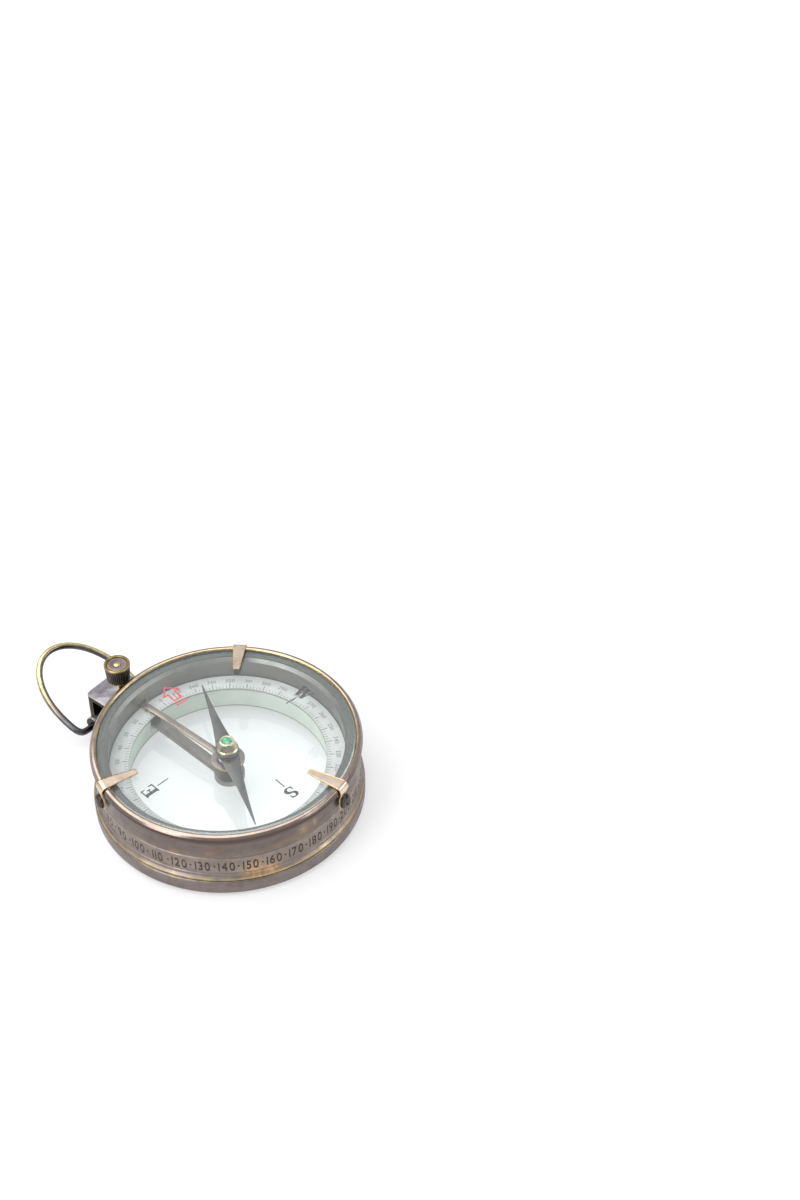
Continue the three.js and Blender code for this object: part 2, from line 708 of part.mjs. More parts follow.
node('clamp_stem', turned(stemProfile, 16), brightBrass, clamp);
node('thrust_pad', rod(padRadius, padFoot, padFoot + padThickness, 20), brightBrass, clamp);

// Return spring: one unbroken tube of real curls between the bracket's floor and the lever's tail
class SpringCurve extends THREE.Curve {
  getPoint(t, target = new THREE.Vector3()) {
    const angle = 2 * Math.PI * springTurns * t;
    const foot = springFoot + springWire;
    const rise = springTop - springFoot - 2 * springWire;
    return target.set(springRadius * Math.cos(angle), springRadius * Math.sin(angle), foot + rise * t);
  }
}

function tube(curve, radius, steps, sides) {
  const frames = [];
  const up = new THREE.Vector3(0, 0, 1);
  for (let i = 0; i <= steps; i += 1) {
    const t = i / steps;
    const tangent = curve.getTangent(t);
    const across = new THREE.Vector3().crossVectors(tangent, up).normalize();
    frames.push([curve.getPoint(t), across, new THREE.Vector3().crossVectors(across, tangent)]);
  }
  const positions = [];
  const index = [];
  for (const [centre, across, normal] of frames) {
    for (let k = 0; k < sides; k += 1) {
      const angle = 2 * Math.PI * k / sides;
      const point = centre.clone()
        .addScaledVector(across, radius * Math.cos(angle))
        .addScaledVector(normal, radius * Math.sin(angle));
      positions.push(point.x, point.y, point.z);
    }
  }
  for (let i = 0; i < steps; i += 1) {
    for (let k = 0; k < sides; k += 1) {
      const p = i * sides + k;
      const q = i * sides + (k + 1) % sides;
      index.push(p, q, q + sides, p, q + sides, p + sides);
    }
  }
  for (let k = 1; k + 1 < sides; k += 1) {
    const last = steps * sides;
    index.push(0, k + 1, k);
    index.push(last, last + k, last + k + 1);
  }
  const geometry = new THREE.BufferGeometry();
  geometry.setAttribute('position', new THREE.Float32BufferAttribute(positions, 3));
  geometry.setIndex(index);
  return geometry;
}

const springSolid = solid(tube(new SpringCurve(), springWire, springTurns * springSteps, springSides));
const spring = node('return_spring', springSolid, brightBrass, compass);
spring.position.set(0, stemY, 0);

// The least gap between neighbouring curls, measured on points along the wire
function springGap() {
  const curve = new SpringCurve();
  const samples = 400;
  const turn = samples / springTurns;
  let least = Infinity;
  const points = Array.from({ length: samples + 1 }, (unused, i) => curve.getPoint(i / samples));
  for (let i = 0; i <= samples; i += 1) {
    for (let k = Math.ceil(i + turn * 0.5); k <= samples; k += 1) {
      least = Math.min(least, points[i].distanceTo(points[k]));
    }
  }
  return least - 2 * springWire;
}
console.log(`return_spring: least gap between curls ${springGap().toFixed(2)} mm`);

// Bail: a round wire bent to a D, whose ends turn in along the hinge axis into the knuckle
const bail = new THREE.Group();
bail.position.set(0, knuckleY, knuckleHeight);
bail.rotation.x = bailRestTilt * deg;
compass.add(bail);
const pinEnd = knuckleHalfWidth - bailPinDepth;
const bailSide = [
  [pinEnd, 0],
  [pinEnd + bailPinDepth * 0.7, 0],
  [bailHalfWidth - bailCorner, 0.05],
  [bailHalfWidth - bailCorner * 0.36, bailCorner * 0.27],
  [bailHalfWidth - bailCorner * 0.06, bailCorner * 1.1],
];
for (let k = 0; k < bailCrownPoints; k += 1) {
  const angle = 90 * deg * k / bailCrownPoints;
  bailSide.push([bailHalfWidth * Math.cos(angle), bailShoulder + bailCrown * Math.sin(angle)]);
}
const bailPoints = [
  ...bailSide.map(([x, y]) => new THREE.Vector3(x, y, 0)),
  new THREE.Vector3(0, bailShoulder + bailCrown, 0),
  ...bailSide.slice().reverse().map(([x, y]) => new THREE.Vector3(-x, y, 0)),
];
const bailCurve = new THREE.CatmullRomCurve3(bailPoints, false, 'centripetal');
const wireShape = new THREE.Shape();
wireShape.absarc(0, 0, bailWire, 0, 2 * Math.PI);
const bailGeometry = new THREE.ExtrudeGeometry(wireShape, {
  extrudePath: bailCurve, steps: bailSteps, curveSegments: bailSides / 2, bevelEnabled: false,
});
node('bail', solid(bailGeometry), darkBronze, bail);

// The origin is the middle of the footprint
const bounds = new THREE.Box3().setFromObject(compass, true);
const middle = bounds.getCenter(new THREE.Vector3());
compass.position.set(-middle.x, -middle.y, -bounds.min.z);
const group = new THREE.Group();
group.add(compass);

export default group;
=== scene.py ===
import math

import bmesh
import bpy
from mathutils import Matrix, Vector


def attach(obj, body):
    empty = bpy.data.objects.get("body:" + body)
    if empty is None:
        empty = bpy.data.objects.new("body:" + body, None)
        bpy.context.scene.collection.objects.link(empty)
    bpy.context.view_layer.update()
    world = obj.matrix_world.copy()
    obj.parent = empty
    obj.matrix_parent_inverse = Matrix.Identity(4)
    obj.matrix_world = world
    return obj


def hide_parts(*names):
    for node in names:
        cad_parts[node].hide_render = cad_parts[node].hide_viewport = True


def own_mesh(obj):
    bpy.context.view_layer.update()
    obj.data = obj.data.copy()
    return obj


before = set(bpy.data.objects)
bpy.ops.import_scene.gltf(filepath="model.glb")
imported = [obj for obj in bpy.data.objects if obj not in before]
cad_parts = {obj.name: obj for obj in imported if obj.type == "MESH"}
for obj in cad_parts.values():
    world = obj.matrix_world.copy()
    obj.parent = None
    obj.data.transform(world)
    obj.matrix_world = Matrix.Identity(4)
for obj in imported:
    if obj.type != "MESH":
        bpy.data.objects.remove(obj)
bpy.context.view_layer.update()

# Sizes are in millimetres round the case's own axis, and angles in degrees. AXIS_Y is where that axis
# stands in the frame.
MM = 0.001
AXIS_Y = -16.628919
SEGMENTS = 288
CORNER_STEPS = 5
FLANGE_R, BAND_R, RIM_INNER, CASE_BORE = 37.65, 36.8, 35.6, 32.5
CASE_FOOT, SKIRT_FOOT, CASE_LEDGE, GLASS_SEAT = 5.9, 6.3, 7.7, 20.2
BAND_FOOT, BAND_TOP = 8.1, 13.7
BASE_R, BASE_TOP = 37.9, 5.6
GLASS_R, GLASS_UNDER, GLASS_TOP = 35.4, 20.7, 22.3
LOW_GLASS_R, LOW_GLASS_UNDER, LOW_GLASS_TOP = 34.0, 4.6, 6.0
DIAL_IN, DIAL_OUT, DIAL_TOP = 27.0, 32.3, 13.4
STEM_Y = 41.5
KNOB_FOOT, KNOB_TOP, KNOB_DISH = 20.0, 25.9, 25.45
HINGE_Y, HINGE_Z = 46.5, 4.0
NORTH = 81.0
HANGER_BEARING = 90.0
NEEDLE_HEADING = 57.2
INK_LIFT = 0.02

# Camera: its place, its view direction, and its focal length in pixels of the photograph
CAMERA_PLACE = (-253.17, -258.26, 383.67)
CAMERA_LOOK = (0.59465, 0.46460, -0.65615)
PHOTO_FOCAL, PHOTO_HEIGHT = 1850.0, 1200.0
SENSOR = 36.0


def in_frame(x, y, z):
    return Vector((x, y + AXIS_Y, z)) * MM


def placed_object(name, data):
    made = bpy.data.objects.new(name, data)
    bpy.context.scene.collection.objects.link(made)
    return made


bpy.context.scene.view_settings.view_transform = "Standard"
camera_data = bpy.data.cameras.new("view_camera")
camera = placed_object("view_camera", camera_data)
camera.location = in_frame(*CAMERA_PLACE)
camera.rotation_euler = Vector(CAMERA_LOOK).to_track_quat("-Z", "Y").to_euler()
camera_data.sensor_fit = "AUTO"
camera_data.sensor_width = SENSOR
camera_data.lens = SENSOR * PHOTO_FOCAL / PHOTO_HEIGHT
camera_data.clip_start = 0.01
camera_data.clip_end = 20.0
bpy.context.scene.camera = camera


# Shader nodes: an input takes a link from another node or a value
def shade(tree, kind, inputs=None, **settings):
    made = tree.nodes.new("ShaderNode" + kind)
    for key, value in settings.items():
        setattr(made, key, value)
    for key, value in (inputs or {}).items():
        if isinstance(value, bpy.types.NodeSocket):
            tree.links.new(value, made.inputs[key])
        else:
            made.inputs[key].default_value = value
    return made


def material(name):
    made = bpy.data.materials.new(name)
    made.use_nodes = True
    made.node_tree.nodes.clear()
    return made, made.node_tree


def finish_material(tree, shader):
    shade(tree, "OutputMaterial", {"Surface": shader})


def ramp(tree, value, stops):
    made = shade(tree, "ValToRGB", {"Fac": value})
    points = made.color_ramp.elements
    while len(points) < len(stops):
        points.new(0.5)
    for point, (place, color) in zip(points, stops):
        point.position = place
        point.color = (*color, 1.0)
    return made.outputs["Color"]


def remap(tree, value, low, high, to_low=0.0, to_high=1.0):
    made = shade(tree, "MapRange", {"Value": value, "From Min": low, "From Max": high,
                                    "To Min": to_low, "To Max": to_high}, clamp=True)
    return made.outputs["Result"]


def object_point(tree):
    return shade(tree, "TexCoord").outputs["Object"]


def height_of(tree, vector):
    return shade(tree, "SeparateXYZ", {"Vector": vector}).outputs["Z"]


def noise(tree, scale, detail=4.0, stretch=(1, 1, 1), distortion=0.0):
    placed = shade(tree, "Mapping", {"Vector": object_point(tree), "Scale": stretch}).outputs["Vector"]
    made = shade(tree, "TexNoise", {"Vector": placed, "Scale": scale, "Detail": detail,
                                    "Distortion": distortion})
    return made.outputs["Fac"]


def math_node(tree, operation, a, b):
    made = shade(tree, "Math", {0: a, 1: b}, operation=operation,
                 use_clamp=operation in ("ADD", "SUBTRACT"))
    return made.outputs[0]


def multiply(tree, a, b):
    return math_node(tree, "MULTIPLY", a, b)


def largest(tree, a, b):
    return math_node(tree, "MAXIMUM", a, b)


# Mixes two colours, each a socket or a plain colour, by a socket
def blend_color(tree, factor, a, b):
    a, b = (value if isinstance(value, bpy.types.NodeSocket) else (*value, 1.0) for value in (a, b))
    return shade(tree, "Mix", {0: factor, 6: a, 7: b}, data_type="RGBA").outputs[2]


# Cloudy base colour: three tones, a bloom in spots, soft local patches of (place, size, tone), a zone of
# (low, high, share, tone) between two heights, and painted light and shade: another tone on upright sides
def patina_base(tree, normal, tones, bloom, stretch, patches, zone, side_light_and_shade_tone):
    clouds = noise(tree, 130.0, 6.0, stretch, 0.6)
    base = ramp(tree, clouds, list(zip((0.15, 0.5, 0.85), tones)))
    if bloom:
        spots = remap(tree, noise(tree, 38.0, 4.0, stretch, 1.2), 0.58, 0.78, 0.0, 0.75)
        base = blend_color(tree, spots, base, bloom)
    for place, size, tone in patches:
        apart = shade(tree, "VectorMath", {0: object_point(tree), 1: in_frame(*place)},
                      operation="DISTANCE").outputs["Value"]
        near = remap(tree, apart, 0.2 * size * MM, size * MM, 1.0, 0.0)
        cloud = remap(tree, noise(tree, 900.0, 4.0), 0.35, 0.6, 0.25, 1.0)
        base = blend_color(tree, multiply(tree, near, cloud), base, tone)
    if zone:
        low, high, share, tone = zone
        level = height_of(tree, object_point(tree))
        above = remap(tree, level, (low - 0.1) * MM, low * MM, 0.0, share)
        below = remap(tree, level, high * MM, (high + 0.1) * MM, 1.0, 0.0)
        base = blend_color(tree, multiply(tree, above, below), base, tone)
    # Painted light and shade: faces that point sideways or down blend to another tone than the tops
    if side_light_and_shade_tone:
        base = blend_color(tree, remap(tree, height_of(tree, normal), 0.35, 0.75), side_light_and_shade_tone, base)
    return base


# Worn places: convex edges, and what a mesh's wear attribute marks, both rubbed unevenly
def worn_places(tree, geometry, wear_gain):
    bevel = shade(tree, "Bevel", {"Radius": 0.22 * MM}, samples=4)
    agree = shade(tree, "VectorMath", {0: bevel.outputs["Normal"], 1: geometry.outputs["Normal"]},
                  operation="DOT_PRODUCT").outputs["Value"]
    convex = remap(tree, geometry.outputs["Pointiness"], 0.5, 0.53)
    edges = multiply(tree, remap(tree, agree, 0.985, 0.9), convex)
    marked = shade(tree, "Attribute", attribute_name="wear").outputs["Fac"]
    rubbed = remap(tree, noise(tree, 420.0, 5.0), 0.3, 0.62, 0.35, 1.15)
    return multiply(tree, multiply(tree, largest(tree, edges, marked), rubbed), wear_gain)


# Metal with patina: the cloudy base, worn bright places, grime, fine pits and brushing
def patina(name, tones, worn, bloom=None, rough=(0.28, 0.5), wear_gain=1.0, stretch=(1, 1, 1), patches=(),
           side_light_and_shade_tone=None, zone=None):
    made, tree = material(name)
    geometry = shade(tree, "NewGeometry")
    base = patina_base(tree, geometry.outputs["Normal"], tones, bloom, stretch, patches, zone, side_light_and_shade_tone)
    color = blend_color(tree, worn_places(tree, geometry, wear_gain), base, worn)
    grime = remap(tree, noise(tree, 700.0, 6.0), 0.35, 0.55, 0.86, 1.0)
    color = blend_color(tree, grime, tuple(0.45 * c for c in tones[0]), color)
    roughness = remap(tree, noise(tree, 260.0, 5.0), 0.3, 0.7, rough[0], rough[1])
    pits = multiply(tree, noise(tree, 2600.0, 3.0), 0.3)
    brushing = multiply(tree, noise(tree, 900.0, 3.0, (1, 1, 14)), 0.25)
    bump = shade(tree, "Bump", {"Height": math_node(tree, "ADD", pits, brushing), "Strength": 0.12,
                                "Distance": 0.05 * MM})
    surface = shade(tree, "BsdfPrincipled", {"Base Color": color, "Metallic": 1.0, "Roughness": roughness,
                                             "Normal": bump.outputs["Normal"]})
    finish_material(tree, surface.outputs["BSDF"])
    return made


def painted(name, tones, rough=0.45, speck=0.0):
    made, tree = material(name)
    color = ramp(tree, noise(tree, 160.0, 5.0), [(0.3, tones[0]), (0.7, tones[1])])
    if speck:
        dust = remap(tree, noise(tree, 1900.0, 2.0), 0.66, 0.72, 0.0, speck)
        color = blend_color(tree, dust, color, tuple(0.5 * c for c in tones[0]))
    roughness = remap(tree, noise(tree, 500.0, 4.0), 0.3, 0.7, rough - 0.08, rough + 0.08)
    bump = shade(tree, "Bump", {"Height": noise(tree, 2200.0, 3.0), "Strength": 0.08, "Distance": 0.04 * MM})
    surface = shade(tree, "BsdfPrincipled", {"Base Color": color, "Roughness": roughness,
                                             "Normal": bump.outputs["Normal"]})
    finish_material(tree, surface.outputs["BSDF"])
    return made


# Clear glass that lets lamp light through to what is under it
def glass(name, tint):
    made, tree = material(name)
    roughness = remap(tree, noise(tree, 90.0, 4.0), 0.45, 0.75, 0.0, 0.03)
    clear = shade(tree, "BsdfPrincipled", {"Base Color": (*tint, 1.0), "Roughness": roughness,
                                           "IOR": 1.48, "Transmission Weight": 1.0})
    thin = shade(tree, "BsdfTransparent", {"Color": (*tint, 1.0)})
    path = shade(tree, "LightPath").outputs
    passing = largest(tree, path["Is Shadow Ray"], path["Is Diffuse Ray"])
    mirrored = math_node(tree, "SUBTRACT", path["Is Glossy Ray"], path["Is Transmission Ray"])
    mixed = shade(tree, "MixShader", {0: largest(tree, passing, mirrored), 1: clear.outputs["BSDF"],
                                      2: thin.outputs["BSDF"]})
    finish_material(tree, mixed.outputs["Shader"])
    return made


def jewel(name):
    made, tree = material(name)
    color = ramp(tree, noise(tree, 1400.0, 3.0), [(0.4, (0.004, 0.22, 0.07)), (0.62, (0.05, 0.62, 0.30))])
    surface = shade(tree, "BsdfPrincipled", {"Base Color": color, "Roughness": 0.08, "Coat Weight": 0.6})
    finish_material(tree, surface.outputs["BSDF"])
    return made


# Pale floor that camera, glossy and transmitted rays see brighter than the light it throws back
def floor_paint(name):
    made, tree = material(name)
    path = shade(tree, "LightPath").outputs
    seen = largest(tree, largest(tree, path["Is Camera Ray"], path["Is Glossy Ray"]),
                   path["Is Transmission Ray"])
    mottle = ramp(tree, noise(tree, 9.0, 3.0), [(0.3, (0.965, 0.962, 0.972)), (0.7, (0.985, 0.983, 0.99))])
    color = blend_color(tree, seen, (0.62, 0.62, 0.63), mottle)
    lit = shade(tree, "BsdfPrincipled", {"Base Color": color, "Roughness": 0.6, "Specular IOR Level": 0.1})
    glow = shade(tree, "Emission", {"Color": mottle, "Strength": 1.0})
    surface = shade(tree, "MixShader", {0: multiply(tree, seen, 0.5), 1: lit.outputs["BSDF"],
                                        2: glow.outputs["Emission"]})
    finish_material(tree, surface.outputs["Shader"])
    return made


GOLD = (0.83, 0.62, 0.27)
TALL_CLOUDS = (1, 1, 2.2)
aged = patina("aged_brass", [(0.165, 0.137, 0.14), (0.235, 0.20, 0.20), (0.30, 0.255, 0.25)], GOLD,
              bloom=(0.42, 0.27, 0.15), stretch=TALL_CLOUDS,
              patches=[((-22.0, -29.5, 7.6), 5.5, (0.62, 0.38, 0.20)),
                       ((-18.0, -32.0, 7.0), 3.5, (0.66, 0.42, 0.24)),
                       ((-9.4, -35.6, 17.6), 2.4, (0.62, 0.46, 0.25)),
                       ((-5.8, -36.3, 17.5), 1.8, (0.62, 0.46, 0.25))],
              zone=(14.05, 19.5, 0.45, (0.11, 0.078, 0.058)))
# Painted shade: the bead's outer, upright side takes a darker brown than its rounded top
bead_copper = patina("bead_copper", [(0.27, 0.215, 0.20), (0.37, 0.305, 0.285), (0.47, 0.40, 0.375)], GOLD,
                     rough=(0.14, 0.26), side_light_and_shade_tone=(0.10, 0.066, 0.055))
inner_metal = patina("inner_brass", [(0.17, 0.17, 0.16), (0.23, 0.23, 0.215), (0.29, 0.29, 0.27)], GOLD,
                     rough=(0.3, 0.5), wear_gain=0.3)
copper = patina("copper_brass", [(0.63, 0.49, 0.38), (0.77, 0.62, 0.49), (0.87, 0.73, 0.60)], GOLD,
                rough=(0.22, 0.38), wear_gain=0.9)
bright = patina("bright_brass", [(0.55, 0.40, 0.17), (0.72, 0.56, 0.28), (0.82, 0.68, 0.40)],
                (0.92, 0.78, 0.46), rough=(0.15, 0.3))
cap_metal = patina("cap_brass", [(0.66, 0.56, 0.33), (0.82, 0.72, 0.46), (0.92, 0.84, 0.60)],
                   (0.95, 0.85, 0.60), rough=(0.14, 0.26))
base_metal = patina("base_brass", [(0.15, 0.125, 0.125), (0.21, 0.18, 0.18), (0.27, 0.23, 0.225)], GOLD,
                    bloom=(0.36, 0.23, 0.13), stretch=TALL_CLOUDS)
wire_metal = patina("wire_bronze", [(0.06, 0.06, 0.065), (0.10, 0.10, 0.105), (0.15, 0.145, 0.15)],
                    (0.86, 0.70, 0.36), rough=(0.14, 0.28))
bronze = patina("dark_bronze", [(0.035, 0.032, 0.032), (0.06, 0.055, 0.052), (0.10, 0.09, 0.085)], GOLD,
                rough=(0.2, 0.36), wear_gain=0.9)
# Painted shade: the bracket's upright sides take a near-black tone under its lighter top
bracket_metal = patina("bracket_bronze", [(0.20, 0.18, 0.19), (0.42, 0.39, 0.42), (0.56, 0.53, 0.56)], GOLD,
                       rough=(0.2, 0.4), side_light_and_shade_tone=(0.055, 0.047, 0.045))
bar_metal = patina("bridge_bronze", [(0.19, 0.18, 0.17), (0.25, 0.24, 0.225), (0.32, 0.31, 0.29)],
                   (0.5, 0.42, 0.27), rough=(0.3, 0.5), wear_gain=0.6)
# Painted highlight: the lever's upright sides take a lighter gold than its top
lever_metal = patina("lever_brass", [(0.24, 0.20, 0.17), (0.34, 0.29, 0.26), (0.43, 0.37, 0.33)], GOLD,
                     rough=(0.25, 0.42), patches=[((0.0, 0.0, 13.6), 9.0, (0.17, 0.165, 0.16))],
                     side_light_and_shade_tone=(0.42, 0.32, 0.15))
black = patina("black_steel", [(0.035, 0.03, 0.03), (0.06, 0.05, 0.05), (0.11, 0.09, 0.09)],
               (0.55, 0.42, 0.22), rough=(0.25, 0.45), wear_gain=0.25)
blued = patina("blue_steel", [(0.07, 0.07, 0.068), (0.095, 0.097, 0.093), (0.13, 0.132, 0.128)],
               (0.36, 0.36, 0.34), rough=(0.3, 0.45), wear_gain=0.4)
knob_face = patina("knob_face", [(0.22, 0.18, 0.19), (0.34, 0.29, 0.31), (0.44, 0.385, 0.41)], GOLD,
                   rough=(0.2, 0.35))
engraving = patina("engraving", [(0.05, 0.04, 0.035), (0.09, 0.07, 0.06), (0.14, 0.10, 0.08)], GOLD,
                   rough=(0.4, 0.6), wear_gain=0.0)
silver = painted("dial_silver", [(0.51, 0.535, 0.52), (0.61, 0.635, 0.62)], speck=0.25)
pale_green = painted("spacer_green", [(0.69, 0.76, 0.68), (0.79, 0.86, 0.78)])
edge_line = painted("edge_line", [(0.27, 0.30, 0.25), (0.36, 0.40, 0.33)])
seal_green = painted("gasket_grey", [(0.055, 0.065, 0.055), (0.085, 0.097, 0.083)], rough=0.7)
ink = painted("black_ink", [(0.012, 0.012, 0.014), (0.03, 0.03, 0.034)], rough=0.4)
dial_ink = painted("dial_ink", [(0.05, 0.055, 0.06), (0.10, 0.105, 0.11)], rough=0.5)
red_ink = painted("red_ink", [(0.50, 0.01, 0.035), (0.64, 0.025, 0.055)], rough=0.4)
top_glass_look = glass("top_clear_glass", (0.99, 0.997, 0.995))
low_glass_look = glass("bottom_clear_glass", (0.965, 0.99, 0.985))
jewel_look = jewel("green_jewel")


# Meshes: points in millimetres round the case's axis, with an optional wear value for each
def add_mesh(name, points, faces, look, body, nodes=(), wear=None, smooth=35.0):
    mesh = bpy.data.meshes.new(name)
    mesh.from_pydata([in_frame(*point) for point in points], [], faces)
    mesh.validate()
    if wear:
        layer = mesh.attributes.new("wear", "FLOAT", "POINT")
        for item, value in zip(layer.data, wear):
            item.value = value
    made = placed_object(name, mesh)
    work = bmesh.new()
    work.from_mesh(mesh)
    bmesh.ops.recalc_face_normals(work, faces=work.faces)
    work.to_mesh(mesh)
    work.free()
    return dress(made, look, body, nodes, smooth)


def dress(made, look, body, nodes=(), smooth=35.0):
    made.data.materials.clear()
    made.data.materials.append(look)
    made.data.shade_smooth()
    made.data.set_sharp_from_angle(angle=math.radians(smooth))
    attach(made, body)
    if nodes:
        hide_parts(*nodes)
    return made


# Quads between neighbouring rows of count points each
def grid_faces(rows, count, rows_close, points_close):
    faces = []
    for i in range(rows if rows_close else rows - 1):
        j = (i + 1) % rows
        for k in range(count if points_close else count - 1):
            m = (k + 1) % count
            faces.append((i * count + k, j * count + k, j * count + m, i * count + m))
    return faces


def end_faces(rows, count):
    return [tuple(range(count - 1, -1, -1)), tuple((rows - 1) * count + k for k in range(count))]


# Replaces the collapsed quads at the axis by triangles that share one point
def merge_axis(faces, line):
    result = []
    for face in faces:
        kept = []
        for index in face:
            k = index % len(line)
            index = k if line[k][0] < 1e-6 else index
            if index not in kept:
                kept.append(index)
        if len(kept) > 2:
            result.append(tuple(kept))
    return result


# Rounds the corners of a profile of (radius, height, corner radius, wear) points
def rounded(profile, closed=True):
    result = []
    count = len(profile)
    for i, point in enumerate(profile):
        r, z, corner, wear = (*point, 0.0, 0.0)[:4]
        place = Vector((r, z))
        ends = not closed and i in (0, count - 1)
        before = Vector(profile[i - 1][:2]) - place
        after = Vector(profile[(i + 1) % count][:2]) - place
        sharp = ends or corner <= 0.0 or before.length < 1e-6 or after.length < 1e-6
        if sharp or before.angle(after) > math.radians(176):
            result.append((r, z, wear))
            continue
        cut = min(corner / math.tan(before.angle(after) / 2), 0.48 * before.length, 0.48 * after.length)
        start = place + before.normalized() * cut
        end = place + after.normalized() * cut
        for k in range(CORNER_STEPS + 1):
            t = k / CORNER_STEPS
            p = start.lerp(place, t).lerp(place.lerp(end, t), t)
            result.append((p.x, p.y, wear * (1.0 - abs(2 * t - 1) ** 2 * 0.6)))
    return result


# Turns a profile round an upright axis. An open profile starts and ends on that axis. A knurl is
# (low, high, least radius, depth, ridges).
def lathe(name, profile, look, body, nodes=(), centre=(0.0, 0.0), segments=SEGMENTS, closed=True,
          knurl=None):
    line = rounded(profile, closed)
    points, wear = [], []
    for i in range(segments):
        angle = 2 * math.pi * i / segments
        for r, z, w in line:
            if knurl and knurl[0] < z < knurl[1] and r > knurl[2]:
                ridge = abs(math.cos(angle * knurl[4] / 2))
                r -= knurl[3] * (1 - ridge)
                w *= ridge ** 6
            points.append((centre[0] + r * math.cos(angle), centre[1] + r * math.sin(angle), z))
            wear.append(w)
    faces = grid_faces(segments, len(line), True, closed)
    if not closed:
        faces = merge_axis(faces, line)
    return add_mesh(name, points, faces, look, body, nodes, wear)


# A smooth line through the given points, with a number of steps from each to the next
def catmull(points, steps):
    result = []
    padded = [points[0]] + list(points) + [points[-1]]
    for i in range(1, len(padded) - 2):
        p0, p1, p2, p3 = (Vector(p) for p in padded[i - 1:i + 3])
        for k in range(steps):
            t = k / steps
            result.append(0.5 * ((2 * p1) + (p2 - p0) * t + (2 * p0 - 5 * p1 + 4 * p2 - p3) * t * t
                                 + (3 * p1 - p0 - 3 * p2 + p3) * t ** 3))
    result.append(Vector(points[-1]))
    return result


# A strip in the YZ plane turned by an angle: (y, z, width) stations, softened edges and a crowned top
def strip(name, stations, thickness, soft, crown, turn, look, body, nodes):
    line = catmull(stations, 6)
    section = []
    for sx, sz in ((1, -1), (1, 1), (-1, 1), (-1, -1)):
        for k in range(4):
            section.append((sx, sz, (k / 3 if sx * sz < 0 else 1 - k / 3) * math.pi / 2))
    points, wear = [], []
    spin = Matrix.Rotation(math.radians(turn), 3, "Z")
    for i, station in enumerate(line):
        ahead = line[min(i + 1, len(line) - 1)] - line[max(i - 1, 0)]
        run = Vector((0, ahead.x, ahead.y)).normalized()
        up = Vector((0, -run.z, run.y))
        half = station.z / 2
        for sx, sz, angle in section:
            x = sx * (half - soft + soft * math.cos(angle))
            z = sz * (thickness / 2 - soft + soft * math.sin(angle))
            if sz > 0:
                z += crown * (1 - (x / half) ** 2)
            points.append(tuple(spin @ (Vector((x, station.x, station.y)) + up * z)))
            wear.append(math.sin(angle * 2) * (1.0 if sz > 0 else 0.4))
    rows, count = len(line), len(section)
    faces = grid_faces(rows, count, False, True) + end_faces(rows, count)
    return add_mesh(name, points, faces, look, body, nodes, wear, 50.0)


# Round wire along a line; wear_side gives the worn direction and its strength at a place on the line
def tube(name, line, radius, look, body, nodes, sides, wear_side=None):
    points, wear = [], []
    normal = Vector((0, 0, 1))
    for i, centre in enumerate(line):
        run = (line[min(i + 1, len(line) - 1)] - line[max(i - 1, 0)]).normalized()
        normal = (normal - run * normal.dot(run)).normalized()
        across = run.cross(normal)
        for k in range(sides):
            angle = 2 * math.pi * k / sides
            out = normal * math.cos(angle) + across * math.sin(angle)
            points.append(tuple(centre + out * radius))
            wear.append(1.4 * max(0.0, out.dot(wear_side(centre))) ** 2 if wear_side else 0.0)
    faces = grid_faces(len(line), sides, False, True) + end_faces(len(line), sides)
    return add_mesh(name, points, faces, look, body, nodes, wear, 60.0)


# A copy of a CAD node with clean faces and softened edges
def softened(node, look, body, width, segments=3):
    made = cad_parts[node].copy()
    made.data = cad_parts[node].data.copy()
    made.name = made.data.name = node + "_detail"
    bpy.context.scene.collection.objects.link(made)
    work = bmesh.new()
    work.from_mesh(made.data)
    bmesh.ops.remove_doubles(work, verts=work.verts, dist=1e-7)
    bmesh.ops.dissolve_limit(work, angle_limit=math.radians(1.0), verts=work.verts, edges=work.edges)
    sharp = [e for e in work.edges if len(e.link_faces) == 2 and e.calc_face_angle() > math.radians(25.0)]
    bmesh.ops.bevel(work, geom=sharp, offset=width * MM, offset_type="OFFSET", segments=segments,
                    profile=0.5, affect="EDGES", clamp_overlap=True)
    work.to_mesh(made.data)
    work.free()
    return dress(made, look, body, (node,), 30.0)


def cut_box(target, low, high):
    work = bmesh.new()
    bmesh.ops.create_cube(work, size=1.0)
    cutter_mesh = bpy.data.meshes.new("cutter")
    work.to_mesh(cutter_mesh)
    work.free()
    cutter = placed_object("cutter", cutter_mesh)
    cutter.location = in_frame(*((a + b) / 2 for a, b in zip(low, high)))
    cutter.scale = [(b - a) * MM for a, b in zip(low, high)]
    bpy.context.view_layer.update()
    step = target.modifiers.new("cut", "BOOLEAN")
    step.operation = "DIFFERENCE"
    step.solver = "EXACT"
    step.object = cutter
    shaped = bpy.data.meshes.new_from_object(target.evaluated_get(bpy.context.evaluated_depsgraph_get()))
    target.modifiers.clear()
    target.data = shaped
    bpy.data.objects.remove(cutter)


